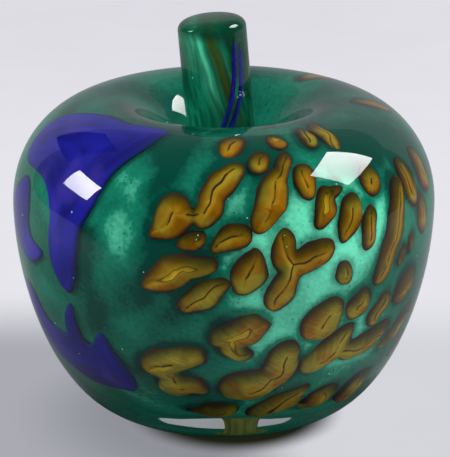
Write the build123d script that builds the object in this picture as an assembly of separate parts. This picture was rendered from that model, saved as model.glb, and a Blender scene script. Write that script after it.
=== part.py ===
from build123d import *
import os
from math import cos, radians, sin, sqrt

os.makedirs("parts", exist_ok=True)

# A solid glass apple: a clear heart on a punty neck, a thin green overlay, amber chips and cobalt bands
# laid on the overlay, a thick clear casing over all of it, and a cased green stem set in the dimple.
# Millimetres, +Z up, origin at the centre of the ground foot, the front faces -Y.

# Outer form of the apple
BODY_RADIUS = 56
WIDEST_HEIGHT = 56.5
FOOT_RADIUS = 27
CREST_RADIUS = 30.5
CREST_HEIGHT = 84
SEAT_RADIUS = 13
SEAT_HEIGHT = 66

# How full each stretch of the turned outline is, as a share of the space that its curve rounds off
BELLY_AT_FOOT = 0.6
BELLY_AT_SIDE = 0.425
SHOULDER_AT_SIDE = 0.61
SHOULDER_AT_CREST = 0.52
DIMPLE_AT_CREST = 0.55
DIMPLE_AT_SEAT = 0.55

# Layers of glass: casing over the colour, green overlay, and the neck left by the punty
CASING = 6
OVERLAY = 1.6
CORE_FLOOR = 11.2
CORE_FOOT_RADIUS = 7
NECK_RADIUS = 2.7
NECK_FLARE = 1.2
NECK_SHIFT = 2.9
BAND_THICKNESS = 1.2
BAND_PAST_CREST = 2

# Amber chips are caps of spindles whose axis lies this share of their radius under the skin
CHIP_SINK = 0.7
CHIP_SWELL = 1 / sqrt(1 - CHIP_SINK**2)

# Stem, measured from its seat in the dimple
STEM_RADIUS = 9
STEM_LENGTH = 40.3
STEM_LEAN = 4.8
STEM_CASING = 1.5
STEM_ROOT = 3
STEM_TIP_ROUND = 3.5
WELD_FLARE = 2
THREAD_RADIUS = 0.65

# Lobes of each chip: run along the widest line from the front to the right, rise along the skin from that
# line, length, width, and turn in degrees from level.
CHIPS = [
    [(3.5, 29.5, 7.5, 5, 50)],
    [(56, -4.5, 5, 2.5, 70)],
    [(-13.5, 9.5, 12, 7.5, 40), (-4, 11.5, 9, 6, 30), (-0.5, 18.5, 13, 7, 50)],
    [(-8, 5, 7, 3.5, 15)],
    [(2, 5.5, 10.5, 5, 25)],
    [(11, 23.5, 6, 4, 45)],
    [(12.5, 14, 14, 8, 60), (17.5, 20.5, 10, 4, 60)],
    [(20, 29.8, 5, 4, 80)],
    [(33, 29, 7.5, 4.5, 65)],
    [(41, 28.5, 10, 3.5, 75)],
    [(23.5, 17.5, 7.5, 5, 80)],
    [(26.5, 10.5, 9.5, 5, 60), (30.5, 13.5, 5, 2.5, 15)],
    [(33, 7, 10, 5.5, 55)],
    [(38.5, 4, 9.5, 4.5, 65)],
    [(43.5, 14, 7, 5.5, 75)],
    [(47.5, 0, 24, 6, 65)],
    [(58, 9.5, 10, 6, 95)],
    [(68.5, 9.5, 9.5, 7, 80)],
    [(62.5, 1, 8.5, 5.5, 100)],
    [(51, -6.5, 5, 2.5, 75)],
    [(14.5, 1, 10.5, 5.5, 90), (21.5, -0.5, 12.5, 6.5, 20), (14.5, -7.5, 12, 7, 70)],
    [(31, -6, 6, 5, 65)],
    [(37.5, -16, 9, 7, 75)],
    [(46.5, -20, 10, 5, 70)],
    [(57, -16.5, 10, 8.5, 70)],
    [(27, -19, 13.5, 9, 65)],
    [(32.5, -30, 17, 9, 60), (47, -30.5, 16, 8, 20)],
    [(6, -3.5, 12, 7, 65)],
    [(-12.5, -3.5, 15, 8, 30), (-6, -1.5, 10, 5.5, 10)],
    [(-5, -9.5, 14.5, 6.5, 35)],
    [(4.5, -20, 15.5, 9.5, 30), (3.5, -27, 8, 4.5, 160)],
    [(-15.5, -31.5, 19, 9, 30), (-14, -41.5, 11.5, 9, 155)],
    [(10, -41, 14.5, 12, 20), (17.5, -33.5, 19, 9, 90)],
    [(-5.5, -55, 13, 6, 25)],
    [(25.5, -51, 16, 7, 65)],
    [(47, -52, 12.5, 6.5, 95)],
    [(67, -49, 13, 7, 125)],
    [(63, -31, 14, 6, 60)],
    [(80.5, -14, 15, 7, 55)],
    [(88, 5, 12, 7, 70)],
    [(84.5, 25, 9, 5, 110)],
    [(83, -36, 13, 6, 40)],
    [(99.5, -10, 16, 7, 65), (104, -14, 12, 6, 20)],
    [(104, 14, 13, 6.5, 60)],
    [(117, 0, 10, 6, 95)],
    [(120.5, 26, 8, 4.5, 80)],
    [(111.5, -32, 15, 6, 35)],
    [(131, -14, 17, 7.5, 50)],
    [(138, 10, 11, 7, 70)],
    [(150, -3, 8, 5, 45)],
]

# Outlines of the cobalt bands on the skin, each point a run and a rise as for the chips
SHOULDER_BAND = [
    (-24, 33), (-26, 27), (-31.5, 19), (-35, 9), (-38.5, 0), (-39.5, -7), (-44.5, -15),
    (-49, -8), (-49, 3), (-53, 9), (-64.5, 11), (-75, 12), (-78.5, 18), (-72.5, 26), (-54, 33), (-38.5, 35),
]
SIDE_STRIP = [
    (-63, 8), (-60, 2), (-58, -4), (-53, -6), (-58, -10), (-68, -9), (-74, -2), (-71, 6),
]
LOWER_BAND = [
    (-44.5, -20), (-41, -29), (-36.5, -25), (-34, -31), (-33, -43), (-38.5, -48), (-52.5, -48),
    (-70, -41), (-77, -31), (-73.5, -20), (-66.5, -19), (-61, -28), (-52.5, -29), (-48, -21),
]

# Each blue thread of the stem, as turns about its axis and heights over the seat
THREADS = [
    [(47, 35.5), (42, 31), (33, 22.5), (9, 13), (-28, 4), (-44, -1)],
    [(60, 33.5), (54, 26), (46, 19.5), (25, 13), (-10, 4), (-26, -1)],
]


def stretches(depth, foot, floor):
    """Belly, shoulder and dimple curves of a turned skin that lies `depth` under the outer one."""
    wide = BODY_RADIUS - depth
    crest = CREST_HEIGHT - depth
    seat_radius = SEAT_RADIUS + depth
    seat = SEAT_HEIGHT - depth
    belly = Bezier(
        (foot, floor),
        (foot + BELLY_AT_FOOT * (wide - foot), floor),
        (wide, WIDEST_HEIGHT - BELLY_AT_SIDE * (WIDEST_HEIGHT - floor)),
        (wide, WIDEST_HEIGHT),
    )
    shoulder = Bezier(
        (wide, WIDEST_HEIGHT),
        (wide, WIDEST_HEIGHT + SHOULDER_AT_SIDE * (crest - WIDEST_HEIGHT)),
        (CREST_RADIUS + SHOULDER_AT_CREST * (wide - CREST_RADIUS), crest),
        (CREST_RADIUS, crest),
    )
    dimple = Bezier(
        (CREST_RADIUS, crest),
        (CREST_RADIUS - DIMPLE_AT_CREST * (CREST_RADIUS - seat_radius), crest),
        (seat_radius, seat + DIMPLE_AT_SEAT * (crest - seat)),
        (seat_radius, seat),
    )
    return belly, shoulder, dimple


def turned(depth, foot, floor):
    """Solid apple inside the skin that lies `depth` under the outer one."""
    belly, shoulder, dimple = stretches(depth, foot, floor)
    floor_line = Line((0, floor), belly @ 0)
    seat_line = Line(dimple @ 1, (0, SEAT_HEIGHT - depth))
    axis_line = Line((0, SEAT_HEIGHT - depth), (0, floor))
    outline = make_face([floor_line, belly, shoulder, dimple, seat_line, axis_line])
    return revolve(Plane.XZ * outline, Axis.Z)


def necked(body, radius, floor, flare):
    """The body with the punty neck that joins it to the ground foot."""
    neck = Pos(NECK_SHIFT, 0, 0) * extrude(Circle(radius), floor + OVERLAY)
    joined = body + neck
    rings = joined.edges().filter_by(GeomType.CIRCLE)
    corner = rings.filter_by(lambda edge: abs(edge.radius - radius) < 0.01).sort_by(Axis.Z)[-1]
    return fillet(corner, flare)


BELLY, SHOULDER, DIMPLE = stretches(CASING, CORE_FOOT_RADIUS, CORE_FLOOR)
CLIMB = Wire([BELLY, SHOULDER, DIMPLE])


def skin(run, rise):
    """Plane touching the coloured core: X to the right, Y up the skin and Z outwards."""
    station = BELLY.length + rise
    point = CLIMB.position_at(station, position_mode=PositionMode.LENGTH)
    climb = CLIMB.tangent_at(station, position_mode=PositionMode.LENGTH)
    turn = run / (BODY_RADIUS - CASING)
    outward = Vector(sin(turn), -cos(turn), 0)
    up = Vector(0, 0, 1)
    return Plane(
        origin=outward * point.X + up * point.Y,
        x_dir=Vector(cos(turn), sin(turn), 0),
        z_dir=outward * climb.Y - up * climb.X,
    )


def lobe(run, rise, length, width, turn):
    """Spindle under the skin whose cap shows `length` by `width`; the skin falls away under its ends."""
    across = CHIP_SWELL * width / 2
    fall = (length / 2) ** 2 / (2 * (BODY_RADIUS - CASING))
    along = length / 2 / sqrt(1 - max(CHIP_SINK - fall / across, 0) ** 2)
    keel = EllipticalCenterArc((0, 0), along, across, start_angle=180, arc_size=180)
    spindle = revolve(Plane.XZ * make_face([keel, Line(keel @ 1, keel @ 0)]), Axis.X)
    return skin(run, rise) * Pos(0, 0, -CHIP_SINK * across) * Rot(0, 0, turn) * spindle


def chip(lobes, core):
    """One amber chip, lying on the overlay."""
    form = lobe(*lobes[0])
    for more in lobes[1:]:
        form += lobe(*more)
    return form - core


def band(outline, core):
    """One cobalt band lying on the overlay, with its outline cut square on."""
    runs, rises = zip(*outline)
    view = skin(sum(runs) / len(runs), sum(rises) / len(rises))
    points = [view.to_local_coords(skin(*place).origin) for place in outline]
    edge = Spline([(point.X, point.Y) for point in points], periodic=True)
    depth = BODY_RADIUS / 2
    prism = view * Pos(0, 0, -depth) * extrude(make_face(edge), depth + CASING)
    cover = turned(CASING - BAND_THICKNESS, CORE_FOOT_RADIUS, CORE_FLOOR - BAND_THICKNESS)
    dimple = extrude(Circle(CREST_RADIUS - BAND_PAST_CREST), CREST_HEIGHT)
    return (prism & cover) - [core, dimple]


def stem_form(radius, length, tip, flare):
    """Stem standing straight on its seat, with a rounded tip and a flared foot."""
    foot = Line((radius + flare, -STEM_ROOT), (radius + flare, 0))
    weld = Bezier((radius + flare, 0), (radius, 0.5 * flare), (radius, flare), (radius, 2 * flare))
    side = Line(weld @ 1, (radius, length - tip))
    round_tip = Bezier(side @ 1, (radius, length - tip / 3), (radius - tip / 2, length), (0, length))
    close = Polyline((0, length), (0, -STEM_ROOT), (radius + flare, -STEM_ROOT))
    return revolve(Plane.XZ * make_face([foot, weld, side, round_tip, close]), Axis.Z)


def thread(places):
    """Blue thread laid on the stem rod, turning about it as it goes down."""
    radius = STEM_RADIUS - STEM_CASING
    points = [(radius * sin(radians(turn)), -radius * cos(radians(turn)), height) for turn, height in places]
    path = Spline(points)
    return sweep(Plane(path @ 0, z_dir=path % 0) * Circle(THREAD_RADIUS), path=path)


def planted(form):
    """The stem piece leaned to the left and cut level on its seat."""
    leaned = Pos(0, 0, SEAT_HEIGHT) * Rot(0, -STEM_LEAN, 0) * form
    return split(leaned, bisect_by=Plane.XY.offset(SEAT_HEIGHT), keep=Keep.TOP)


# Body
core = necked(turned(CASING, CORE_FOOT_RADIUS, CORE_FLOOR), NECK_RADIUS, CORE_FLOOR, NECK_FLARE)
heart_floor = CORE_FLOOR + OVERLAY
heart_body = turned(CASING + OVERLAY, CORE_FOOT_RADIUS, heart_floor)
heart = necked(heart_body, NECK_RADIUS - OVERLAY, heart_floor, NECK_FLARE + OVERLAY)

inlays = {f"amber_chip_{count:02d}": chip(lobes, core) for count, lobes in enumerate(CHIPS, 1)}
inlays["cobalt_shoulder_band"] = band(SHOULDER_BAND, core)
inlays["cobalt_side_strip"] = band(SIDE_STRIP, core)
inlays["cobalt_lower_band"] = band(LOWER_BAND, core)

casing = turned(0, FOOT_RADIUS, 0) - [core, *inlays.values()]

# Stem
threads = [thread(places) for places in THREADS]
rod_tip = STEM_TIP_ROUND - STEM_CASING / 2
rod = stem_form(STEM_RADIUS - STEM_CASING, STEM_LENGTH - STEM_CASING, rod_tip, WELD_FLARE)
sleeve = stem_form(STEM_RADIUS, STEM_LENGTH, STEM_TIP_ROUND, WELD_FLARE) - [rod, *threads]

nodes = {
    "clear_casing": casing,
    "green_overlay": core - heart,
    "clear_heart": heart,
    "stem_rod": planted(rod - threads),
    "stem_casing": planted(sleeve),
    "stem_thread_1": planted(threads[0]),
    "stem_thread_2": planted(threads[1]),
    **inlays,
}
for name, shape in nodes.items():
    export_step(shape, f"parts/{name}.step")
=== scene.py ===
"""Looks of a solid glass apple: clear casing, green overlay, amber chips, cobalt bands and a cased stem."""

import math
import random

import bpy
import numpy as np
from bpy.props import FloatProperty, FloatVectorProperty, IntProperty, PointerProperty
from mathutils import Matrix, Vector, noise
from mathutils.kdtree import KDTree


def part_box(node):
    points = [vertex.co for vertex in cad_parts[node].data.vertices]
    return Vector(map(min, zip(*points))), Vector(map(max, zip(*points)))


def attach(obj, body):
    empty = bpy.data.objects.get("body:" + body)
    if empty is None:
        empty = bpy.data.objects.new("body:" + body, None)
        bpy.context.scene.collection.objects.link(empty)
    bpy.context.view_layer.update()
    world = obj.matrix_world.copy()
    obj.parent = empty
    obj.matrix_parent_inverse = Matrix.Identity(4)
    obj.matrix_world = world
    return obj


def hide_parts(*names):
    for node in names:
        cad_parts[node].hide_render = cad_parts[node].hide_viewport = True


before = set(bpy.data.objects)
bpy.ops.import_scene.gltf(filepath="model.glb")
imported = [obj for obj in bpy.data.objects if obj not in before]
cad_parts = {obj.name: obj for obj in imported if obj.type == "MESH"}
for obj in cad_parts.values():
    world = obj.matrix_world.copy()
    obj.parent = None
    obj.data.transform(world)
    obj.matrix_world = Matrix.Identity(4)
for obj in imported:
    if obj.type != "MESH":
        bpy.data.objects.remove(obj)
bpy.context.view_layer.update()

bl_info = {
    "name": "Glass apple",
    "version": (1, 0, 0),
    "blender": (4, 5, 0),
    "location": "View3D > Sidebar > Glass apple",
    "description": "Models the layers of a solid glass apple around its CAD parts",
    "category": "Add Mesh",
}

MM = 0.001
CHIPS = sorted(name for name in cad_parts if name.startswith("amber_chip_"))
BANDS = ("cobalt_shoulder_band", "cobalt_side_strip", "cobalt_lower_band")
THREADS = ("stem_thread_1", "stem_thread_2")

# Corners that lie nearer to each other than this become one
MERGE = 0.001 * MM

# How far a turned skin and a softened inlay may leave the place of their solids
SKIN_SLACK = 0.4 * MM
INLAY_SLACK = 1.5 * MM

# Edges that turn by more than this stay sharp, on the skins and on the softer pieces
SKIN_ANGLE = math.radians(40)
SOFT_ANGLE = math.radians(60)

# How full each stretch of the turned outline is, as a share of the space that its curve rounds off
BELLY_AT_FOOT = 0.6
BELLY_AT_SIDE = 0.425
SHOULDER_AT_SIDE = 0.61
SHOULDER_AT_CREST = 0.52
DIMPLE_AT_CREST = 0.55
DIMPLE_AT_SEAT = 0.55

# Size of the clouds that make the chips uneven
CLOUD_SIZE = 6 * MM

# A chip's fold, in millimetres: how far it wanders, over what length, its half width and the rim it spares
FOLD_WANDER = 0.7
FOLD_WAVE = 4
FOLD_HALF_WIDTH = 0.9
FOLD_SPARES = 0.8

# Start of the draw by which the folds wander
FOLD_DRAW = 11

# The fold is pressed only where the chip faces outward by more than this cosine
FOLD_FACING = 0.2

# A rim point lies on the other side when the cosine to the nearest one is below this
OTHER_SIDE = -0.3

# Millimetres that stand for no rim on the other side, and those by which a sideways rim is no crown
NO_RIM = 99
CROWN_DROP = 2

# The painted shadow that a chip leaves on the overlay: where it is cast and how far it reaches
CHIP_SHADOW_SHIFT = Vector((0.5, 0, -0.7)) * MM
CHIP_SHADOW_REACH = 2.2 * MM

# Seeds: start of the draw, climb in degrees, depth in millimetres, shares of the radius and of the height
SEED_DRAW = 11
SEED_CLIMB = (-48, 52)
SEED_DEPTH = (1.5, 4.5)
SEED_SHARE = (0.35, 1.0)
SEED_STRETCH = (0.8, 1.5)

# How round the apple is above and below its widest line, as a power of the cosine
ROUND_ABOVE = 0.62
ROUND_BELOW = 0.8

# Softboxes: direction from the apple's middle, then width and height in metres
LEFT_SOFTBOX = ((-0.89, 0.03, 0.45), (0.40, 0.27))
RIGHT_SOFTBOX = ((0.674, 0.12, 0.72), (0.56, 0.42))
FRONT_FILL = ((0.1, -0.8, 0.6), (0.9, 0.6))
SOFTBOX_REACH = 1.1

# The gleams are what the glass mirrors of the softboxes, just before them so that nothing hides them
GLEAM_REACH = 1.08

# Linear grey tones of the surroundings, from the camera's side to the far side
SURROUNDINGS = (
    (0.0, (0.005, 0.005, 0.006, 1)),
    (0.4, (0.02, 0.02, 0.022, 1)),
    (0.7, (0.08, 0.08, 0.085, 1)),
    (1.0, (0.3, 0.3, 0.31, 1)),
)

# Bounds between which most of a noise pattern lies
NOISE = (0.3, 0.7)

# Settings that many nodes share
SMOOTH = {"interpolation_type": "SMOOTHSTEP"}
RGBA = {"data_type": "RGBA"}

# Patches of the overlay, partly its own thin and thick glass, partly painted light and painted shade: centre,
# radius and strength
OVERLAY_PATCHES = (
    ((22, -43, 46), 23, 0.55),
    ((31, -39, 60), 22, 0.55),
    ((14, -46, 66), 19, 0.5),
    ((39, -31, 60), 16, 0.35),
    ((6, -49, 56), 17, 0.4),
    ((6, -45, 38), 15, 0.3),
    ((33, -28, 28), 19, 0.45),
    ((-20, -38, 73), 9, 0.3),
    ((-25, -42, 62), 9, 0.35),
    ((-12, -44, 40), 10, 0.2),
    ((-12, -34, 77), 11, -0.4),
    ((-13, -41, 72), 8, -0.35),
    ((-31, -39, 61), 8, -0.4),
    ((-17, -47, 58), 8, -0.3),
    ((-21, -43, 46), 11, -0.3),
    ((-20, -28, 22), 9, -0.4),
    ((6, -33, 78), 12, -0.35),
    ((36, -20, 74), 14, -0.45),
    ((44, -10, 68), 17, -0.4),
    ((-34, -34, 52), 14, -0.3),
    ((-30, -34, 36), 13, -0.3),
    ((14, -18, 13), 14, 0.3),
    ((-16, -18, 13), 14, 0.2),
    ((40, 28, 50), 34, 0.6),
    ((-30, 36, 45), 32, 0.5),
)


def linear(hex_colour):
    """Linear RGBA of an sRGB hex colour."""
    shares = [int(hex_colour[k:k + 2], 16) / 255 for k in (1, 3, 5)]
    return (*[s / 12.92 if s <= 0.04045 else ((s + 0.055) / 1.055) ** 2.4 for s in shares], 1)


def length_setting(name, description, millimetres):
    """A length that the user can change."""
    return FloatProperty(name=name, description=description, default=millimetres * MM, unit="LENGTH")


def angle_setting(name, description, degrees):
    """An angle that the user can change."""
    return FloatProperty(name=name, description=description, default=math.radians(degrees), unit="ROTATION")


def power_setting(name, description, watts):
    """A lamp's power that the user can change."""
    return FloatProperty(name=name, description=description, default=watts, unit="POWER")


def colour_setting(name, description, hex_colour):
    """A colour that the user can change."""
    return FloatVectorProperty(
        name=name, description=description, default=linear(hex_colour), size=4, subtype="COLOR",
    )


class AppleForm(bpy.types.PropertyGroup):
    """Sizes of the apple's layers and stem."""

    body_radius: length_setting("Body radius", "Largest radius of the apple", 56)
    widest_height: length_setting("Widest height", "Height of the widest line", 56.5)
    foot_radius: length_setting("Foot radius", "Radius of the ground flat foot", 27)
    crest_radius: length_setting("Crest radius", "Radius of the ring round the dimple", 30.5)
    crest_height: length_setting("Crest height", "Height of the ring round the dimple", 84)
    seat_radius: length_setting("Seat radius", "Radius of the dimple's floor", 13)
    seat_height: length_setting("Seat height", "Height of the dimple's floor", 66)
    casing: length_setting("Casing", "Thickness of the clear casing", 6)
    core_floor: length_setting("Core floor", "Clear glass under the coloured core", 11.2)
    core_foot: length_setting("Core foot", "Radius of the core's flat underside", 7)
    neck_radius: length_setting("Neck radius", "Radius of the punty neck", 2.7)
    neck_flare: length_setting("Neck flare", "Rounding between the neck and the core", 1.2)
    neck_shift: length_setting("Neck shift", "How far the neck stands off the axis", 2.9)
    stem_radius: length_setting("Stem radius", "Radius of the cased stem", 9)
    stem_length: length_setting("Stem length", "Length of the stem over its seat", 40.3)
    stem_lean: angle_setting("Stem lean", "Lean of the stem to the left", 4.8)
    stem_root: length_setting("Stem root", "Length turned below the seat before it is cut", 3)
    stem_tip: length_setting("Stem tip", "Rounding of the stem's tip", 3.5)
    weld_flare: length_setting("Weld flare", "How far the stem's foot flares", 2)
    seed_count: IntProperty(
        name="Seeds", description="Number of small bubbles in the casing", default=70, min=0,
    )
    seed_radius: length_setting("Seed radius", "Radius of the largest bubble", 0.22)
    fold_depth: length_setting("Fold depth", "Depth of the fold pressed into a chip", 0.35)


class AppleColours(bpy.types.PropertyGroup):
    """Colours of the glass and of the paper."""

    clear: colour_setting("Clear", "Tint of the clear glass", "#f6fbf8")
    # The overlay's greens show its thin and thick glass, and also painted light and painted shade
    green_deep: colour_setting("Deep green", "Thick overlay", "#043a30")
    green_mid: colour_setting("Green", "Common colour of the overlay", "#157059")
    green_thin: colour_setting("Thin green", "Thin, light overlay", "#6fe0bb")
    neck: colour_setting("Neck", "Olive glass of the punty neck", "#7a7c34")
    amber: colour_setting("Amber", "Body of a chip", "#82520a")
    olive: colour_setting("Olive", "Body of a chip low on the apple", "#867826")
    brown: colour_setting("Brown", "Body of a chip to the right", "#4f2f0c")
    honey: colour_setting("Honey", "Light middle of a chip", "#a8871c")
    # Painted shade on the upper edges of the chips
    chip_painted_shade: colour_setting("Chip crown", "Shaded upper edge of a chip", "#1f2a08")
    chip_fold: colour_setting("Chip fold", "Fold and outline of a chip", "#33201a")
    cobalt: colour_setting("Cobalt", "Body of the bands", "#1b1b80")
    cobalt_deep: colour_setting("Deep cobalt", "Dark streaks of the bands", "#12125c")
    cobalt_edge: colour_setting("Cobalt edge", "Thin edge of the bands over the green", "#0c2440")
    violet: colour_setting("Violet", "Violet streaks of the bands", "#3a2f86")
    stem: colour_setting("Stem", "Body of the stem rod", "#0f6a4e")
    stem_deep: colour_setting("Deep stem", "Dark side of the stem rod", "#063726")
    stem_olive: colour_setting("Stem olive", "Brown streak of the stem rod", "#33491a")
    stem_light: colour_setting("Stem light", "Light streak of the stem rod", "#45b08c")
    # Painted reflection and painted highlight of the seeds: the green they mirror and the light they catch
    seed_green_reflection: colour_setting("Dark seed", "Bubble that mirrors the green", "#2f8f74")
    seed_highlight: colour_setting("Light seed", "Bubble that catches the light", "#c9f2e2")
    paper: colour_setting("Paper", "Lit paper behind the apple", "#e6e6ec")
    paper_far: colour_setting("Far paper", "Paper far behind the apple", "#dddce3")
    paper_near: colour_setting("Near paper", "Paper before the apple", "#d4d5db")
    paper_shade: colour_setting("Shaded paper", "Paper in the apple's soft shadow", "#a9aab2")
    paper_beside: colour_setting("Paper beside", "Shadow close to the apple's foot", "#62666a")
    # Painted contact shadow under the apple
    paper_contact_shadow: colour_setting("Dark paper", "Paper under the apple", "#1d1f11")


class AppleStage(bpy.types.PropertyGroup):
    """Camera and lights."""

    distance: length_setting("Camera distance", "From the apple's middle", 672)
    middle: length_setting("Middle", "Height of the apple's middle", 41.9)
    aside: length_setting("Camera aside", "How far right of the axis the camera stands", 0.31)
    elevation: angle_setting("Elevation", "Height of the camera over the apple", 19)
    tilt: angle_setting("Tilt", "How far down the camera looks", 18.53)
    lens: FloatProperty(
        name="Lens", description="Focal length in millimetres on a 36 mm sensor", default=197.2,
    )
    left_power: power_setting("Left softbox", "Power of the left softbox", 14)
    right_power: power_setting("Right softbox", "Power of the right softbox", 16)
    fill_power: power_setting("Fill", "Power of the soft light from the front", 6)
    left_gleam: power_setting("Left gleam", "Power of the left softbox in reflections", 6.4)
    right_gleam: power_setting("Right gleam", "Power of the right softbox in reflections", 10.5)


def add(tree, kind, inputs=(), stops=(), **settings):
    """Adds one shader node with its settings, and fills its inputs by value or by link.

    The inputs are listed in order or named. A node among them stands for its first output in use.
    """
    node = tree.nodes.new("ShaderNode" + kind)
    for name, value in settings.items():
        setattr(node, name, value)
    for name, value in inputs.items() if isinstance(inputs, dict) else enumerate(inputs):
        if isinstance(value, bpy.types.Node):
            value = next(socket for socket in value.outputs if socket.enabled)
        if isinstance(value, bpy.types.NodeSocket):
            tree.links.new(value, node.inputs[name])
        else:
            node.inputs[name].default_value = value
    for count, (place, colour) in enumerate(stops):
        if count > 1:
            node.color_ramp.elements.new(place)
        node.color_ramp.elements[count].position = place
        node.color_ramp.elements[count].color = colour
    return node


def coats(tree, colour, *layers):
    """Lays colours over one another, each by its share."""
    for share, over in layers:
        colour = add(tree, "Mix", {0: share, 6: colour, 7: over}, **RGBA)
    return colour


def new_material(name):
    """An empty material and its node tree."""
    made = bpy.data.materials.new(name)
    made.use_nodes = True
    made.node_tree.nodes.clear()
    return made, made.node_tree


def opaque(made, colour, roughness, gloss=0.0):
    """Ends a material as an opaque surface, which under the casing has no gloss of its own."""
    tree = made.node_tree
    surface = add(tree, "BsdfPrincipled", {
        "Base Color": colour, "Roughness": roughness, "Specular IOR Level": gloss,
    })
    add(tree, "OutputMaterial", {"Surface": surface})
    return made


def clear_glass():
    """Fire-polished soda-lime glass: mirror-smooth, faintly wavy from the tools, with a breath of green."""
    colours = bpy.context.scene.apple_colours
    made, tree = new_material("fire_polished_clear_glass")
    place = add(tree, "TexCoord").outputs["Object"]
    cords = add(tree, "TexNoise", {"Vector": place, "Scale": 1 / (14 * MM), "Detail": 1.0})
    tint = coats(tree, colours.clear, (cords, linear("#ffffff")))
    wave = add(tree, "Bump", {"Height": cords, "Strength": 0.2, "Distance": 0.03 * MM})
    glass = add(tree, "BsdfPrincipled", {
        "Base Color": tint, "Roughness": 0.01, "IOR": 1.5, "Transmission Weight": 1.0, "Normal": wave,
    })
    # The lamps' light passes straight through and takes the tint of the thick glass
    through = add(tree, "BsdfTransparent", {"Color": linear("#eff6f2")})
    path = add(tree, "LightPath")
    lit = add(tree, "MixShader", (path.outputs["Is Shadow Ray"], glass, through))
    bounced = add(tree, "MixShader", (path.outputs["Is Diffuse Ray"], lit, through))
    add(tree, "OutputMaterial", {"Surface": bounced})
    return made


def overlay_glass():
    """Green overlay glass: deep where thick, pale teal where thin; painted light, and painted shade by the
    chips.
    """
    colours = bpy.context.scene.apple_colours
    form = bpy.context.scene.apple_form
    made, tree = new_material("teal_overlay_glass")
    place = add(tree, "TexCoord").outputs["Object"]
    height = add(tree, "SeparateXYZ", [place]).outputs[2]
    # Drifting patches of thin and thick glass
    drift = add(tree, "TexNoise", {"Vector": place, "Scale": 1 / (17 * MM), "Detail": 1.5, "Distortion": 0.4})
    sway = add(tree, "VectorMath", (drift.outputs["Color"], (0.5, 0.5, 0.5)), operation="SUBTRACT")
    sway = add(tree, "VectorMath", {0: sway, "Scale": 22 * MM}, operation="SCALE")
    swayed = add(tree, "VectorMath", (place, sway), operation="ADD")
    thin = add(tree, "MapRange", (drift, *NOISE, 0.16, 0.4), **SMOOTH)
    # The listed patches lay painted light and painted shade over the glass's own thin and thick places
    for centre, radius, strength in OVERLAY_PATCHES:
        middle = tuple(value * MM for value in centre)
        away = add(tree, "VectorMath", (swayed, middle), operation="DISTANCE")
        patch = add(tree, "MapRange", (away, radius * MM, 0.0, 0.0, strength), **SMOOTH)
        thin = add(tree, "Math", (thin, patch), operation="ADD")
    # Painted shade near the crest, grainy, with dark specks and a painted shadow beside the chips
    grain = add(tree, "TexNoise", {"Vector": place, "Scale": 1 / (1.1 * MM), "Detail": 2.0})
    specks = add(tree, "TexVoronoi", {"Vector": place, "Scale": 1 / (1.9 * MM)})
    halo = add(tree, "Attribute", attribute_name="halo").outputs["Fac"]
    for share in (
        add(tree, "MapRange", (height, 68 * MM, 77 * MM, 0.0, -0.16), **SMOOTH),
        add(tree, "MapRange", (grain, *NOISE, -0.05, 0.05), **SMOOTH),
        add(tree, "MapRange", (specks, 0.2, 0.1, 0.0, -0.14), **SMOOTH),
        add(tree, "MapRange", (halo, 0.0, 1.0, 0.0, -0.36), **SMOOTH),
    ):
        thin = add(tree, "Math", (thin, share), operation="ADD")
    colour = add(tree, "ValToRGB", [thin], [
        (0.0, colours.green_deep), (0.45, colours.green_mid), (1.0, colours.green_thin),
    ])
    # Olive streaks in the punty neck
    flat = add(tree, "VectorMath", (place, (1, 1, 0)), operation="MULTIPLY")
    beside = add(tree, "VectorMath", (flat, (form.neck_shift, 0, 0)), operation="DISTANCE")
    beside = add(tree, "MapRange", (beside, 5 * MM, 4 * MM), **SMOOTH)
    below = add(tree, "MapRange", (height, 12 * MM, 11 * MM, 0.0, 0.8), **SMOOTH)
    neck = add(tree, "Math", (beside, below), operation="MULTIPLY")
    upright = add(tree, "TexNoise", {"Vector": flat, "Scale": 1 / (1.2 * MM), "Detail": 1.0})
    upright = add(tree, "MapRange", (upright, *NOISE, 0.5, 1.15), **SMOOTH)
    streaks = add(tree, "Mix", {0: 1.0, 6: colours.neck, 7: upright}, blend_type="MULTIPLY", **RGBA)
    colour = coats(tree, colour, (neck, streaks))
    # Painted light: a glow for the light that comes through the glass from behind, on the underside and, less
    # of it, in the neck
    through = add(tree, "MapRange", (height, 17 * MM, 12 * MM, 0.0, 0.3), **SMOOTH)
    less = add(tree, "MapRange", (neck, 0.0, 0.8, 1.0, 0.6), **SMOOTH)
    through = add(tree, "Math", (through, less), operation="MULTIPLY")
    glass = add(tree, "BsdfPrincipled", {
        "Base Color": colour, "Roughness": 0.5, "Specular IOR Level": 0.0,
        "Emission Color": colour, "Emission Strength": through,
    })
    add(tree, "OutputMaterial", {"Surface": glass})
    return made


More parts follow.
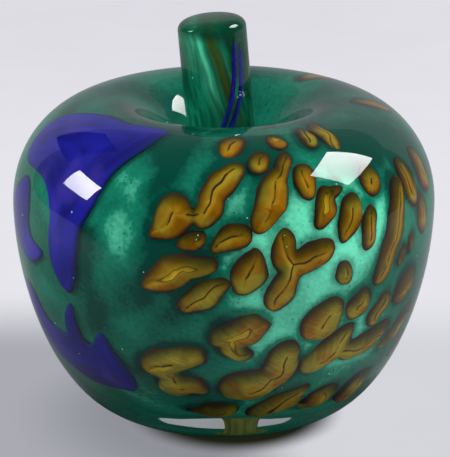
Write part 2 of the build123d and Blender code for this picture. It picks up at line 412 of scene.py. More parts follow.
def chip_glass():
    """Coarse chips of streaky amber glass, softened in the fire: painted shade above, folded or with a lens.
    """
    colours = bpy.context.scene.apple_colours
    made, tree = new_material("amber_chip_glass")
    place = add(tree, "TexCoord").outputs["Object"]
    parts = add(tree, "SeparateXYZ", [place])
    rim, crown, middle, along, reach = (
        add(tree, "Attribute", attribute_name=name).outputs["Fac"]
        for name in ("rim", "crown", "mid", "along", "reach")
    )
    lot = add(tree, "ObjectInfo").outputs["Random"]
    # Amber high on the apple, olive low on it and brown to the right
    low = add(tree, "MapRange", (parts.outputs[2], 62 * MM, 36 * MM, 0.0, 0.9), **SMOOTH)
    drift = add(tree, "TexNoise", {"Vector": place, "Scale": 1 / (8 * MM), "Detail": 1.5})
    drift = add(tree, "MapRange", (drift, 0.32, 0.68, 0.0, 0.9), **SMOOTH)
    olive = add(tree, "Math", (low, 0.6), operation="MULTIPLY")
    olive = add(tree, "Math", (olive, drift), operation="ADD")
    olive = add(tree, "Math", (olive, add(tree, "Math", (lot, 0.4), operation="MULTIPLY")), operation="ADD")
    olive = add(tree, "MapRange", (olive, 0.6, 1.3), **SMOOTH)
    brown = add(tree, "MapRange", (parts.outputs[0], 24 * MM, 44 * MM, 0.0, 0.8), **SMOOTH)
    body = coats(tree, colours.amber, (olive, colours.olive), (brown, colours.brown))
    # Fine hairs across the chip, strongest in the olive ones, and a lighter middle
    across = add(tree, "CombineXYZ", (along, middle, lot))
    across = add(tree, "VectorMath", (across, (2.2, 0.3, 30.0)), operation="MULTIPLY")
    hairs = add(tree, "TexNoise", {"Vector": across, "Scale": 1.0, "Detail": 2.0})
    hairs = add(tree, "MapRange", (hairs, *NOISE, 0.68, 1.12), **SMOOTH)
    share = add(tree, "MapRange", (low, 0.2, 0.9, 0.3, 0.9), **SMOOTH)
    body = add(tree, "Mix", {0: share, 6: body, 7: hairs}, blend_type="MULTIPLY", **RGBA)
    light = add(tree, "MapRange", (middle, 1.9, 0.4, 0.0, 0.4), **SMOOTH)
    # A honey lens with a thin outline in some chips
    lens = add(tree, "CombineXYZ", (
        add(tree, "Math", (middle, 0.65), operation="DIVIDE"),
        add(tree, "Math", (reach, 0.45), operation="DIVIDE"),
    ))
    lens = add(tree, "VectorMath", [lens], operation="LENGTH")
    folded = add(tree, "MapRange", (lot, 0.32, 0.36), **SMOOTH)
    plain = add(tree, "Math", (1.0, folded), operation="SUBTRACT")
    ring = add(tree, "MapRange", (lens, 1.5, 1.1, 0.0, 0.7), **SMOOTH)
    ring = add(tree, "Math", (plain, ring), operation="MULTIPLY")
    disc = add(tree, "MapRange", (lens, 1.1, 0.85), **SMOOTH)
    disc = add(tree, "Math", (plain, disc), operation="MULTIPLY")
    # A broken fold along the middle of the others, which ends short of the tips
    cloud = add(tree, "TexNoise", {"Vector": place, "Scale": 1 / (4 * MM), "Detail": 3.0})
    tips = add(tree, "Math", [reach], operation="ABSOLUTE")
    crease = add(tree, "MapRange", (middle, 0.34, 0.08), **SMOOTH)
    for share in (
        add(tree, "MapRange", (tips, 0.98, 0.82), **SMOOTH),
        add(tree, "MapRange", (cloud, 0.3, 0.5, 0.55, 1.0), **SMOOTH),
        folded,
    ):
        crease = add(tree, "Math", (crease, share), operation="MULTIPLY")
    # Painted shade on the upper edge of each chip
    shaded = add(tree, "MapRange", (crown, 5.2, 0.9, 0.0, 0.92), **SMOOTH)
    edge = add(tree, "MapRange", (rim, 1.7, 0.4, 0.0, 0.95), **SMOOTH)
    body = coats(
        tree, body, (light, colours.honey), (ring, colours.chip_fold), (disc, colours.honey),
        (crease, colours.chip_fold), (shaded, colours.chip_painted_shade), (edge, colours.chip_fold),
    )
    return opaque(made, body, 0.5)


def cobalt_glass():
    """Dense cobalt glass drawn out while hot: long streaks of deep blue and violet that follow its edge."""
    colours = bpy.context.scene.apple_colours
    made, tree = new_material("cobalt_band_glass")
    place = add(tree, "TexCoord").outputs["Object"]
    rim = add(tree, "Attribute", attribute_name="rim").outputs["Fac"]
    along = add(tree, "Attribute", attribute_name="along").outputs["Fac"]
    flow = add(tree, "CombineXYZ", (
        add(tree, "Math", (rim, 0.16), operation="MULTIPLY"),
        add(tree, "Math", (along, 0.07), operation="MULTIPLY"),
    ))
    streak = add(tree, "TexNoise", {"Vector": flow, "Scale": 1.0, "Detail": 3.0, "Distortion": 0.6})
    streak = add(tree, "MapRange", (streak, 0.3, 0.62), **SMOOTH)
    cloud = add(tree, "TexNoise", {"Vector": place, "Scale": 1 / (12 * MM), "Detail": 2.0})
    violet = add(tree, "MapRange", (cloud, 0.5, 0.75, 0.0, 0.6), **SMOOTH)
    uneven = add(tree, "MapRange", (cloud, *NOISE, -0.5, 0.5), **SMOOTH)
    edge = add(tree, "Math", (rim, uneven), operation="ADD")
    edge = add(tree, "MapRange", (edge, 1.6, 0.2, 0.0, 0.8), **SMOOTH)
    body = coats(
        tree, colours.cobalt_deep,
        (streak, colours.cobalt), (violet, colours.violet), (edge, colours.cobalt_edge),
    )
    return opaque(made, body, 0.5)


def stem_glass():
    """Dark green glass rod, pulled and turned while hot: broad slanting streaks of light green and olive."""
    colours = bpy.context.scene.apple_colours
    made, tree = new_material("pulled_green_rod_glass")
    place = add(tree, "TexCoord").outputs["Object"]
    side, depth, height = add(tree, "SeparateXYZ", [place]).outputs
    # Broad streaks that slant across the upper part
    cloud = add(tree, "TexNoise", {"Vector": place, "Scale": 1 / (11 * MM), "Detail": 1.0})
    cloud = add(tree, "MapRange", (cloud, *NOISE, -0.5 * MM, 0.5 * MM), **SMOOTH)
    slant = add(tree, "Math", (height, 94 * MM), operation="SUBTRACT")
    slant = add(tree, "Math", (slant, 0.29), operation="MULTIPLY")
    slant = add(tree, "Math", (side, slant), operation="ADD")
    slant = add(tree, "Math", (slant, cloud), operation="ADD")
    share = add(tree, "MapRange", (slant, -10 * MM, 6 * MM))
    streaks = add(tree, "ValToRGB", [share], [
        (0.0, colours.stem_deep), (0.2, colours.stem), (0.33, colours.stem_light), (0.42, colours.stem),
        (0.5, colours.stem_olive), (0.58, colours.stem_olive), (0.67, colours.stem), (0.8, colours.stem_deep),
    ])
    # A plain lower part, darker to the right
    right = add(tree, "MapRange", (side, -5 * MM, 4 * MM))
    lower = coats(tree, colours.stem, (right, colours.stem_deep))
    below = add(tree, "MapRange", (height, 90 * MM, 80 * MM, 0.0, 0.8), **SMOOTH)
    colour = coats(tree, streaks, (below, lower))
    # Fine streaks all along, and a dark tip
    drawn = add(tree, "Math", (height, 0.08), operation="MULTIPLY")
    drawn = add(tree, "CombineXYZ", (slant, depth, drawn))
    fine = add(tree, "TexNoise", {"Vector": drawn, "Scale": 1 / (1.2 * MM), "Detail": 2.0})
    fine = add(tree, "MapRange", (fine, *NOISE, 0.55, 1.3), **SMOOTH)
    colour = add(tree, "Mix", {0: 1.0, 6: colour, 7: fine}, blend_type="MULTIPLY", **RGBA)
    tip = add(tree, "MapRange", (height, 100 * MM, 103 * MM, 0.0, 0.85), **SMOOTH)
    colour = coats(tree, colour, (tip, colours.stem_deep))
    return opaque(made, colour, 0.4)


def thread_glass(top):
    """Cobalt thread trailed on the rod: lighter where thin, darker where thick, and drawn out at its top."""
    colours = bpy.context.scene.apple_colours
    made, tree = new_material("cobalt_thread_glass")
    place = add(tree, "TexCoord").outputs["Object"]
    drift = add(tree, "TexNoise", {"Vector": place, "Scale": 1 / (3 * MM), "Detail": 2.0})
    thin = add(tree, "MapRange", (drift, 0.35, 0.65))
    height = add(tree, "SeparateXYZ", [place]).outputs[2]
    end = add(tree, "MapRange", (height, top - 3.5 * MM, top - 0.5 * MM), **SMOOTH)
    body = coats(tree, colours.cobalt_deep, (thin, colours.cobalt), (end, colours.stem_deep))
    return opaque(made, body, 0.4)


def seed_glass():
    """Seeds, the small bubbles left in the glass, as opaque points with painted reflections and painted
    highlights.
    """
    colours = bpy.context.scene.apple_colours
    made, tree = new_material("seed_bubble")
    place = add(tree, "TexCoord").outputs["Object"]
    drift = add(tree, "TexNoise", {"Vector": place, "Scale": 1 / (8 * MM)})
    body = coats(tree, colours.seed_green_reflection, (drift, colours.seed_highlight))
    return opaque(made, body, 0.2, gloss=0.2)


def sweep_paper():
    """Pale studio paper: bright behind the apple, greyer before it, with a soft shadow left of and under it.

    Its tones are painted for direct looks, through the glass and in reflections. Else it is plain paper.
    """
    colours = bpy.context.scene.apple_colours
    made, tree = new_material("pale_paper_sweep")
    place = add(tree, "TexCoord").outputs["Object"]
    side, depth, _ = add(tree, "SeparateXYZ", [place]).outputs
    # The soft pool of shade round the apple, deeper to the left and close to the foot
    pool = add(tree, "VectorMath", (place, (0, -30 * MM, 0)), operation="DISTANCE")
    pool = add(tree, "MapRange", (pool, 260 * MM, 140 * MM), **SMOOTH)
    left = add(tree, "MapRange", (side, 24 * MM, -4 * MM), **SMOOTH)
    left = add(tree, "Math", (pool, left), operation="MULTIPLY")
    away = add(tree, "VectorMath", (place, (3 * MM, -12 * MM, 0)), operation="DISTANCE")
    beside = add(tree, "MapRange", (away, 63 * MM, 30 * MM, 0.0, 0.45), **SMOOTH)
    beside = add(tree, "Math", (left, beside), operation="MULTIPLY")
    near = coats(tree, colours.paper_near, (left, colours.paper_shade), (beside, colours.paper_beside))
    # The lighter paper behind, the painted pool of shade before it and the painted contact shadow under the
    # apple
    right = add(tree, "MapRange", (side, 0.0, 250 * MM), **SMOOTH)
    far = coats(tree, colours.paper_far, (right, colours.paper))
    behind = add(tree, "MapRange", (depth, 130 * MM, 460 * MM), **SMOOTH)
    before = add(tree, "MapRange", (depth, 85 * MM, 30 * MM), **SMOOTH)
    before = add(tree, "Math", (pool, before), operation="MULTIPLY")
    under = add(tree, "MapRange", (away, 30 * MM, 20 * MM), **SMOOTH)
    colour = coats(tree, colours.paper, (behind, far), (before, near), (under, colours.paper_contact_shadow))
    grain = add(tree, "TexNoise", {"Vector": place, "Scale": 1 / (30 * MM), "Detail": 1.0})
    grain = add(tree, "MapRange", (grain, 0.0, 1.0, 0.985, 1.015), **SMOOTH)
    colour = add(tree, "Mix", {0: 1.0, 6: colour, 7: grain}, blend_type="MULTIPLY", **RGBA)
    # Painted shade in reflections: dimmer there, most of all before the apple and close to its foot
    path = add(tree, "LightPath")
    mirrored = path.outputs["Is Glossy Ray"]
    front = add(tree, "MapRange", (depth, -80 * MM, -200 * MM), **SMOOTH)
    close = add(tree, "MapRange", (away, 52 * MM, 36 * MM), **SMOOTH)
    front = add(tree, "Math", (front, close), operation="MAXIMUM")
    front = add(tree, "Math", (front, 0.37), operation="MULTIPLY")
    dim = add(tree, "Math", (0.55, front), operation="ADD")
    dim = add(tree, "Math", (dim, mirrored), operation="MULTIPLY")
    strength = add(tree, "Math", (1.0, dim), operation="SUBTRACT")
    shown = add(tree, "Emission", {"Color": colour, "Strength": strength})
    paper = add(tree, "BsdfPrincipled", {"Base Color": colour, "Roughness": 0.9, "Specular IOR Level": 0.1})
    direct = path.outputs["Is Camera Ray"]
    for ray in (path.outputs["Is Transmission Ray"], mirrored):
        direct = add(tree, "Math", (direct, ray), operation="MAXIMUM")
    seen = add(tree, "MixShader", (direct, paper, shown))
    add(tree, "OutputMaterial", {"Surface": seen})
    return made


def flag_felt():
    """Black felt: next to no light comes back from it."""
    made, tree = new_material("black_felt")
    place = add(tree, "TexCoord").outputs["Object"]
    nap = add(tree, "TexNoise", {"Vector": place, "Scale": 1 / (0.5 * MM)})
    return opaque(made, coats(tree, linear("#080808"), (nap, linear("#101010"))), 1.0)


def outline(depth, foot, floor):
    """Bezier knots of the turned skin `depth` under the outer one: left handle, knot and right handle."""
    size = bpy.context.scene.apple_form
    wide = size.body_radius - depth
    widest = size.widest_height
    ring = size.crest_radius
    crest = size.crest_height - depth
    seat_radius = size.seat_radius + depth
    seat_height = size.seat_height - depth
    return [
        ((0, floor), (0, floor), (foot / 3, floor)),
        ((foot * 2 / 3, floor), (foot, floor), (foot + BELLY_AT_FOOT * (wide - foot), floor)),
        (
            (wide, widest - BELLY_AT_SIDE * (widest - floor)),
            (wide, widest),
            (wide, widest + SHOULDER_AT_SIDE * (crest - widest)),
        ),
        (
            (ring + SHOULDER_AT_CREST * (wide - ring), crest),
            (ring, crest),
            (ring - DIMPLE_AT_CREST * (ring - seat_radius), crest),
        ),
        (
            (seat_radius, seat_height + DIMPLE_AT_SEAT * (crest - seat_height)),
            (seat_radius, seat_height),
            (seat_radius * 2 / 3, seat_height),
        ),
        ((seat_radius / 3, seat_height), (0, seat_height), (0, seat_height)),
    ]


def turned(knots, steps, detail):
    """Turns an outline of Bezier knots, in radius and height, about the upright axis into a closed mesh."""
    bpy.ops.object.select_all(action="DESELECT")
    bpy.ops.curve.primitive_bezier_curve_add()
    line = bpy.context.object.data.splines[0]
    line.bezier_points.add(len(knots) - 2)
    line.resolution_u = detail
    for point, (left, knot, right) in zip(line.bezier_points, knots):
        point.handle_left_type = point.handle_right_type = "FREE"
        point.handle_left = (left[0], 0, left[1])
        point.co = (knot[0], 0, knot[1])
        point.handle_right = (right[0], 0, right[1])
    bpy.ops.object.convert(target="MESH")
    bpy.ops.object.mode_set(mode="EDIT")
    bpy.ops.mesh.select_all(action="SELECT")
    bpy.ops.mesh.spin(steps=steps, angle=2 * math.pi, center=(0, 0, 0), axis=(0, 0, 1))
    bpy.ops.mesh.select_all(action="SELECT")
    bpy.ops.mesh.remove_doubles(threshold=MERGE)
    bpy.ops.mesh.normals_make_consistent(inside=False)
    bpy.ops.object.mode_set(mode="OBJECT")
    return bpy.context.object


def pick(piece):
    """Makes a piece the active one and the only selected one."""
    bpy.ops.object.select_all(action="DESELECT")
    bpy.context.view_layer.objects.active = piece
    piece.select_set(True)


def apply_modifiers(piece):
    """Applies the piece's modifiers in order."""
    pick(piece)
    for modifier in list(piece.modifiers):
        bpy.ops.object.modifier_apply(modifier=modifier.name)


def dress(piece, finish):
    """Gives a piece its only material."""
    piece.data.materials.clear()
    piece.data.materials.append(finish)


def seat(piece, name, finish, node, angle=SKIN_ANGLE, slack=SKIN_SLACK):
    """Names and finishes a piece that stands for a CAD node, and makes sure that it fills the same place."""
    pick(piece)
    bpy.ops.object.shade_smooth_by_angle(angle=angle)
    corners = np.array([vertex.co for vertex in piece.data.vertices])
    low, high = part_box(node)
    miss = max(abs(corners.min(0) - np.array(low)).max(), abs(corners.max(0) - np.array(high)).max())
    if miss > slack:
        raise RuntimeError(f"{name} misses the place of {node} by {miss / MM:.2f} mm")
    piece.name = piece.data.name = name
    dress(piece, finish)
    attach(piece, "root")
    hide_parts(node)


def copied(node, voxel, swell, smoothing, uneven=0.0):
    """An even, smoothed copy of a CAD node's solid, swollen first by what smoothing takes off thin edges.

    Where it is made uneven, the clouds push every copy the same way, so that neighbours stay apart.
    """
    piece = bpy.data.objects.new(node + "_copy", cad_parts[node].data.copy())
    bpy.context.scene.collection.objects.link(piece)
    weld = piece.modifiers.new("merge", "WELD")
    weld.merge_threshold = MERGE
    swollen = piece.modifiers.new("swell", "DISPLACE")
    swollen.strength = swell
    swollen.mid_level = 0
    even = piece.modifiers.new("even", "REMESH")
    even.mode = "VOXEL"
    even.voxel_size = voxel
    if uneven:
        clouds = bpy.data.textures.new("unevenness", "CLOUDS")
        clouds.noise_scale = CLOUD_SIZE
        clouds.noise_depth = 0
        clouds.cloud_type = "COLOR"
        warp = piece.modifiers.new("unevenness", "DISPLACE")
        warp.direction = "RGB_TO_XYZ"
        warp.texture = clouds
        warp.strength = uneven
    soft = piece.modifiers.new("soften", "SMOOTH")
    soft.factor = 0.5
    soft.iterations = smoothing
    apply_modifiers(piece)
    return piece


def measure(piece, wander):
    """Stores what the finishes read at each vertex of an inlay, and returns it with places and directions.

    It is how far the vertex lies from the rim, from its upper stretch and from the middle line, and where
    it lies along the piece, all in millimetres, and that place as a share of half the piece.
    """
    mesh = piece.data
    place = np.empty(len(mesh.vertices) * 3)
    facing = np.empty(len(mesh.vertices) * 3)
    ends = np.empty(len(mesh.edges) * 2, int)
    mesh.vertices.foreach_get("co", place)
    mesh.vertices.foreach_get("normal", facing)
    mesh.edges.foreach_get("vertices", ends)
    place = place.reshape(-1, 3) / MM
    facing = facing.reshape(-1, 3)
    ends = ends.reshape(-1, 2)
    # The rim runs through the edges on which the surface turns from facing outward to facing inward
    outward = place - (0, 0, bpy.context.scene.apple_form.widest_height / MM)
    outward /= np.linalg.norm(outward, axis=1)[:, None]
    lean = (facing * outward).sum(1)
    ends = ends[(lean[ends[:, 0]] > 0) != (lean[ends[:, 1]] > 0)]
    rim = place[ends].mean(1)
    upward = np.array((0, 0, 1)) - outward * outward[:, 2:]
    upward /= np.linalg.norm(upward, axis=1)[:, None]
    lift = (facing[ends] * upward[ends]).sum(2).mean(1)
    # The middle line is where the nearest rim is as far as the rim on the other side
    # It wanders from a set start, because the noise would otherwise start from the clock
    noise.seed_set(FOLD_DRAW)
    shift = [noise.noise_vector(Vector(point) / FOLD_WAVE) for point in place]
    apart = rim[None] - (place + wander * np.array(shift))[:, None]
    gaps = np.linalg.norm(apart, axis=2)
    rows = np.arange(len(place))
    nearest = gaps.argmin(1)
    near = gaps[rows, nearest]
    toward = apart[rows, nearest] / np.maximum(near, 1e-6)[:, None]
    behind = np.einsum("ijk,ik->ij", apart, toward) < OTHER_SIDE * gaps
    far = np.where(behind, gaps, NO_RIM).min(1)
    gaps = np.linalg.norm(rim[None] - place[:, None], axis=2)
    middle = rim.mean(0)
    along = (place - middle) @ np.linalg.svd(rim - middle, full_matrices=False)[2][0]
    values = {
        "rim": gaps.min(1),
        "crown": (gaps + CROWN_DROP * (1 - lift)).min(1),
        "mid": (far - near) / 2,
        "along": along,
        "reach": along / abs(along).max(),
    }
    for name, value in values.items():
        mesh.attributes.new(name, "FLOAT", "POINT").data.foreach_set("value", value.astype(np.float32))
    return place, outward, lean, values


def fold(piece):
    """Presses the fold into the top of a chip."""
    depth = bpy.context.scene.apple_form.fold_depth / MM
    place, outward, lean, values = measure(piece, FOLD_WANDER)
    share = np.clip(1 - values["mid"] / FOLD_HALF_WIDTH, 0, 1)
    share = share * np.clip(values["rim"] - FOLD_SPARES, 0, 1) * (lean > FOLD_FACING)
    pressed = place - outward * (depth * share * share * (3 - 2 * share))[:, None]
    piece.data.vertices.foreach_set("co", (pressed * MM).ravel())
    piece.data.update()


def shade_beside_chips(piece):
    """For the painted shadow, stores how near each overlay vertex lies to a chip, most of all above and left
    of it.
    """
    corners = [vertex.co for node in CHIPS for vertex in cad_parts[node].data.vertices]
    tree = KDTree(len(corners))
    for count, corner in enumerate(corners):
        tree.insert(corner, count)
    tree.balance()
    gaps = np.array([tree.find(vertex.co + CHIP_SHADOW_SHIFT)[2] for vertex in piece.data.vertices])
    halo = np.clip(1 - gaps / CHIP_SHADOW_REACH, 0, 1).astype(np.float32)
    piece.data.attributes.new("halo", "FLOAT", "POINT").data.foreach_set("value", halo)


class APPLE_OT_casing(bpy.types.Operator):
    """Models the outer skin of the clear casing"""

    bl_idname = "apple.casing"
    bl_label = "Clear casing"

    def execute(self, context):
        piece = turned(outline(0, context.scene.apple_form.foot_radius, 0), steps=192, detail=24)
        seat(piece, "casing_skin", clear_glass(), "clear_casing")
        return {"FINISHED"}


class APPLE_OT_overlay(bpy.types.Operator):
    """Models the green overlay with its punty neck, and finishes the clear heart inside it"""

    bl_idname = "apple.overlay"
    bl_label = "Green overlay"

    def execute(self, context):
        size = context.scene.apple_form
        core = turned(outline(size.casing, size.core_foot, size.core_floor), steps=300, detail=36)
        neck = self.neck(size)
        join = core.modifiers.new("neck", "BOOLEAN")
        join.operation = "UNION"
        join.object = neck
        apply_modifiers(core)
        bpy.data.objects.remove(neck)
        shade_beside_chips(core)
        seat(core, "overlay_skin", overlay_glass(), "green_overlay")
        dress(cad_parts["clear_heart"], clear_glass())
        return {"FINISHED"}

    def neck(self, size):
        """The punty neck, which flares into the core's floor and ends inside the core."""
        waist, flare, floor = size.neck_radius, size.neck_flare, size.core_floor
        rim = waist + flare
        bulge = 0.45 * flare
        straight = 2 * MM
        bend = 0.5 * MM
        end = 0.3 * MM
        top = floor + 0.2 * MM
        inside = floor + 2 * MM
        neck = turned([
            ((0, end), (0, end), (waist / 3, end)),
            ((waist * 2 / 3, end), (waist, end), (waist, end + straight)),
            ((waist, floor - flare - straight), (waist, floor - flare), (waist, floor - bulge)),
            ((waist + bulge, top), (rim, top), (rim, top + bend)),
            ((rim, inside - bend), (rim, inside), (waist, inside)),
            ((waist / 2, inside), (0, inside), (0, inside)),
        ], steps=48, detail=8)
        bpy.ops.object.mode_set(mode="EDIT")
        bpy.ops.mesh.select_all(action="SELECT")
        bpy.ops.transform.translate(value=(size.neck_shift, 0, 0))
        bpy.ops.object.mode_set(mode="OBJECT")
        return neck


class APPLE_OT_chips(bpy.types.Operator):
    """Models the amber chips with their folds"""

    bl_idname = "apple.chips"
    bl_label = "Amber chips"

    def execute(self, context):
        finish = chip_glass()
        for node in CHIPS:
            piece = copied(node, voxel=0.3 * MM, swell=0.5 * MM, smoothing=5, uneven=2.1 * MM)
            fold(piece)
            seat(piece, node.replace("amber_", ""), finish, node, SOFT_ANGLE, INLAY_SLACK)
        return {"FINISHED"}


class APPLE_OT_bands(bpy.types.Operator):
    """Models the cobalt bands"""

    bl_idname = "apple.bands"
    bl_label = "Cobalt bands"

    def execute(self, context):
        finish = cobalt_glass()
        for node in BANDS:
            piece = copied(node, voxel=0.5 * MM, swell=0.15 * MM, smoothing=4)
            measure(piece, wander=0.0)
            seat(piece, node.replace("cobalt_", ""), finish, node, SOFT_ANGLE, INLAY_SLACK)
        return {"FINISHED"}


class APPLE_OT_stem(bpy.types.Operator):
    """Models the clear sleeve of the stem, and finishes the rod and the threads under it"""

    bl_idname = "apple.stem"
    bl_label = "Cased stem"

    def execute(self, context):
        size = context.scene.apple_form
        radius, length, tip, flare = size.stem_radius, size.stem_length, size.stem_tip, size.weld_flare
        foot = radius + flare
        root = -size.stem_root
        sleeve = turned([
            ((0, root), (0, root), (foot / 3, root)),
            ((foot * 2 / 3, root), (foot, root), (foot, root * 2 / 3)),
            ((foot, root / 3), (foot, 0), (radius, 0.5 * flare)),
            ((radius, flare), (radius, 2 * flare), (radius, length / 3)),
            ((radius, length * 2 / 3), (radius, length - tip), (radius, length - tip / 3)),
            ((radius - tip / 2, length), (0, length), (0, length)),
        ], steps=96, detail=20)
        # Leaned, set on the dimple's floor and cut level just above it
        cut = (0, 0, size.seat_height + 0.05 * MM)
        bpy.ops.object.mode_set(mode="EDIT")
        bpy.ops.mesh.select_all(action="SELECT")
        bpy.ops.transform.rotate(value=size.stem_lean, orient_axis="Y", center_override=(0, 0, 0))
        bpy.ops.transform.translate(value=(0, 0, size.seat_height))
        bpy.ops.mesh.bisect(
            plane_co=cut, plane_no=(0, 0, 1), use_fill=True, clear_inner=True, threshold=MERGE,
        )
        bpy.ops.object.mode_set(mode="OBJECT")
        seat(sleeve, "stem_sleeve", clear_glass(), "stem_casing")
        dress(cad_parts["stem_rod"], stem_glass())
        for thread in THREADS:
            dress(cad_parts[thread], thread_glass(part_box(thread)[1][2]))
        return {"FINISHED"}


class APPLE_OT_seeds(bpy.types.Operator):
    """Models the seeds, small bubbles strewn through the casing"""

    bl_idname = "apple.seeds"
    bl_label = "Seeds"

    def execute(self, context):
        size = context.scene.apple_form
        chance = random.Random(SEED_DRAW)
        bpy.ops.object.select_all(action="DESELECT")
        bubbles = []
        for count in range(size.seed_count):
            turn = chance.uniform(0, 2 * math.pi)
            climb = math.radians(chance.uniform(*SEED_CLIMB))
            depth = chance.uniform(*SEED_DEPTH) * MM
            reach = size.body_radius - depth
            lift = size.crest_height - size.widest_height if climb > 0 else size.widest_height
            height = size.widest_height + (lift - depth) * math.sin(climb)
            across = reach * math.cos(climb) ** (ROUND_ABOVE if climb > 0 else ROUND_BELOW)
            radius = size.seed_radius * chance.uniform(*SEED_SHARE)
            bpy.ops.mesh.primitive_ico_sphere_add(
                subdivisions=2, radius=radius,
                location=(across * math.sin(turn), across * math.cos(turn), height),
            )
            bpy.ops.object.mode_set(mode="EDIT")
            bpy.ops.transform.resize(value=(1, 1, chance.uniform(*SEED_STRETCH)))
            bpy.ops.object.mode_set(mode="OBJECT")
            bubbles.append(context.object)
        for bubble in bubbles:
            bubble.select_set(True)
        bpy.ops.object.join()
        piece = context.object
        bpy.ops.object.transform_apply(location=True, rotation=True, scale=True)
        bpy.ops.object.shade_smooth_by_angle(angle=SOFT_ANGLE)
        piece.name = piece.data.name = "seeds"
        dress(piece, seed_glass())
        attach(piece, "root")
        return {"FINISHED"}


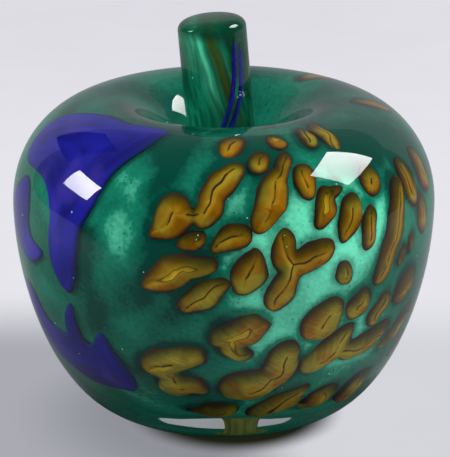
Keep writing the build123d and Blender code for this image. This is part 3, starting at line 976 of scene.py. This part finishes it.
class APPLE_OT_stage(bpy.types.Operator):
    """Sets the paper sweep, the lights, the surroundings and the camera"""

    bl_idname = "apple.stage"
    bl_label = "Stage"

    def execute(self, context):
        stage = context.scene.apple_stage
        self.sweep()
        self.surroundings(context.scene)
        for name, softbox, power in (
            ("left_softbox", LEFT_SOFTBOX, stage.left_power),
            ("right_softbox", RIGHT_SOFTBOX, stage.right_power),
            ("front_fill", FRONT_FILL, stage.fill_power),
        ):
            self.light(name, softbox, power, SOFTBOX_REACH).visible_glossy = False
        for name, softbox, power, dark_corner in (
            ("left_gleam", LEFT_SOFTBOX, stage.left_gleam, 0.6),
            ("right_gleam", RIGHT_SOFTBOX, stage.right_gleam, 0.7),
        ):
            self.gleam(self.light(name, softbox, power, GLEAM_REACH), dark_corner)
        self.flag()
        self.camera(context.scene, stage)
        return {"FINISHED"}

    def sweep(self):
        """Paper that lies under the apple and rises in two bends behind it."""
        bpy.ops.object.select_all(action="DESELECT")
        bpy.ops.mesh.primitive_plane_add(size=4, location=(0, -0.6, -0.2 * MM))
        floor = bpy.context.object
        bpy.ops.object.mode_set(mode="EDIT")
        bpy.ops.mesh.select_all(action="DESELECT")
        bpy.ops.object.mode_set(mode="OBJECT")
        for edge in floor.data.edges:
            edge.select = all(floor.data.vertices[k].co.y > 0 for k in edge.vertices)
        bpy.ops.object.mode_set(mode="EDIT")
        bpy.ops.mesh.select_mode(type="EDGE")
        for rise in ((0, 0.3, 0.25), (0, 0.1, 1.2)):
            bpy.ops.mesh.extrude_region_move(TRANSFORM_OT_translate={"value": rise})
        bpy.ops.object.mode_set(mode="OBJECT")
        bpy.ops.object.transform_apply(location=True, rotation=True, scale=True)
        bpy.ops.object.shade_smooth()
        floor.name = floor.data.name = "paper_sweep"
        dress(floor, sweep_paper())

    def surroundings(self, scene):
        """Dim light from all round, darkest from the camera's side."""
        world = bpy.data.worlds.new("studio")
        scene.world = world
        world.use_nodes = True
        tree = world.node_tree
        tree.nodes.clear()
        depth = add(tree, "SeparateXYZ", [add(tree, "TexCoord").outputs["Generated"]]).outputs[1]
        share = add(tree, "MapRange", (depth, -1.0, 1.0))
        colour = add(tree, "ValToRGB", [share], SURROUNDINGS)
        light = add(tree, "Background", {"Color": colour, "Strength": 1.0})
        add(tree, "OutputWorld", {"Surface": light})

    def light(self, name, softbox, power, reach):
        """A softbox that faces the apple's middle."""
        toward, size = softbox
        direction = Vector(toward).normalized()
        middle = Vector((0, 0, bpy.context.scene.apple_stage.middle))
        bpy.ops.object.light_add(type="AREA", location=direction * reach + middle)
        lamp = bpy.context.object
        lamp.name = lamp.data.name = name
        lamp.rotation_euler = (-direction).to_track_quat("-Z", "Y").to_euler()
        lamp.data.shape = "RECTANGLE"
        lamp.data.size, lamp.data.size_y = size
        lamp.data.energy = power
        return lamp

    def gleam(self, lamp, dark_corner):
        """Shows the lamp in reflections only, fading from full strength to a dark corner."""
        lamp.visible_diffuse = lamp.visible_transmission = False
        lamp.data.use_nodes = True
        tree = lamp.data.node_tree
        tree.nodes.clear()
        parts = add(tree, "SeparateXYZ", [add(tree, "NewGeometry").outputs["Parametric"]])
        corner = add(tree, "Math", (parts.outputs[0], parts.outputs[1]), operation="ADD")
        strength = add(tree, "MapRange", (corner, 0.2, 1.6, dark_corner), **SMOOTH)
        glow = add(tree, "Emission", {"Strength": strength})
        add(tree, "OutputLight", {"Surface": glow})

    def flag(self):
        """A dark card, seen in reflections only, that keeps the left softbox out of the dimple's far wall."""
        bpy.ops.object.select_all(action="DESELECT")
        bpy.ops.mesh.primitive_plane_add(
            size=40 * MM, location=(-68 * MM, 11 * MM, 117 * MM), rotation=(0, math.radians(-61), 0),
        )
        card = bpy.context.object
        bpy.ops.object.transform_apply(location=True, rotation=True, scale=True)
        bpy.ops.object.mode_set(mode="EDIT")
        bpy.ops.mesh.select_all(action="SELECT")
        bpy.ops.mesh.extrude_region_move(TRANSFORM_OT_translate={"value": (-0.9 * MM, 0, 0.5 * MM)})
        bpy.ops.object.mode_set(mode="OBJECT")
        card.name = card.data.name = "flag"
        dress(card, flag_felt())
        card.visible_camera = card.visible_diffuse = card.visible_transmission = card.visible_shadow = False

    def camera(self, scene, stage):
        """A long lens that looks down on the apple from the front."""
        back = -stage.distance * math.cos(stage.elevation)
        lift = stage.middle + stage.distance * math.sin(stage.elevation)
        look = (math.pi / 2 - stage.tilt, 0, 0)
        bpy.ops.object.camera_add(location=(stage.aside, back, lift), rotation=look)
        eye = bpy.context.object
        eye.name = eye.data.name = "camera"
        eye.data.lens = stage.lens
        eye.data.clip_start = 10 * MM
        scene.camera = eye
        scene.view_settings.view_transform = "Standard"


class APPLE_PT_sidebar(bpy.types.Panel):
    """Lists the pieces of the glass apple"""

    bl_idname = "APPLE_PT_sidebar"
    bl_label = "Glass apple"
    bl_space_type = "VIEW_3D"
    bl_region_type = "UI"
    bl_category = "Glass apple"

    def draw(self, context):
        for operator in OPERATORS:
            self.layout.operator(operator.bl_idname)
        for place, kind in GROUPS.items():
            box = self.layout.box()
            for name in kind.__annotations__:
                box.prop(getattr(context.scene, place), name)


GROUPS = {"apple_form": AppleForm, "apple_colours": AppleColours, "apple_stage": AppleStage}
OPERATORS = (
    APPLE_OT_casing,
    APPLE_OT_overlay,
    APPLE_OT_chips,
    APPLE_OT_bands,
    APPLE_OT_stem,
    APPLE_OT_seeds,
    APPLE_OT_stage,
)


def register():
    """Makes the settings, the operators and the panel known to Blender."""
    for name, group in GROUPS.items():
        bpy.utils.register_class(group)
        setattr(bpy.types.Scene, name, PointerProperty(type=group))
    for kind in (*OPERATORS, APPLE_PT_sidebar):
        bpy.utils.register_class(kind)


def unregister():
    """Takes them out again."""
    for kind in reversed((*OPERATORS, APPLE_PT_sidebar)):
        bpy.utils.unregister_class(kind)
    for name, group in GROUPS.items():
        delattr(bpy.types.Scene, name)
        bpy.utils.unregister_class(group)


def main():
    """Builds the apple and its stage."""
    register()
    bpy.ops.apple.casing()
    bpy.ops.apple.overlay()
    bpy.ops.apple.chips()
    bpy.ops.apple.bands()
    bpy.ops.apple.stem()
    bpy.ops.apple.seeds()
    bpy.ops.apple.stage()


if __name__ == "__main__":
    main()
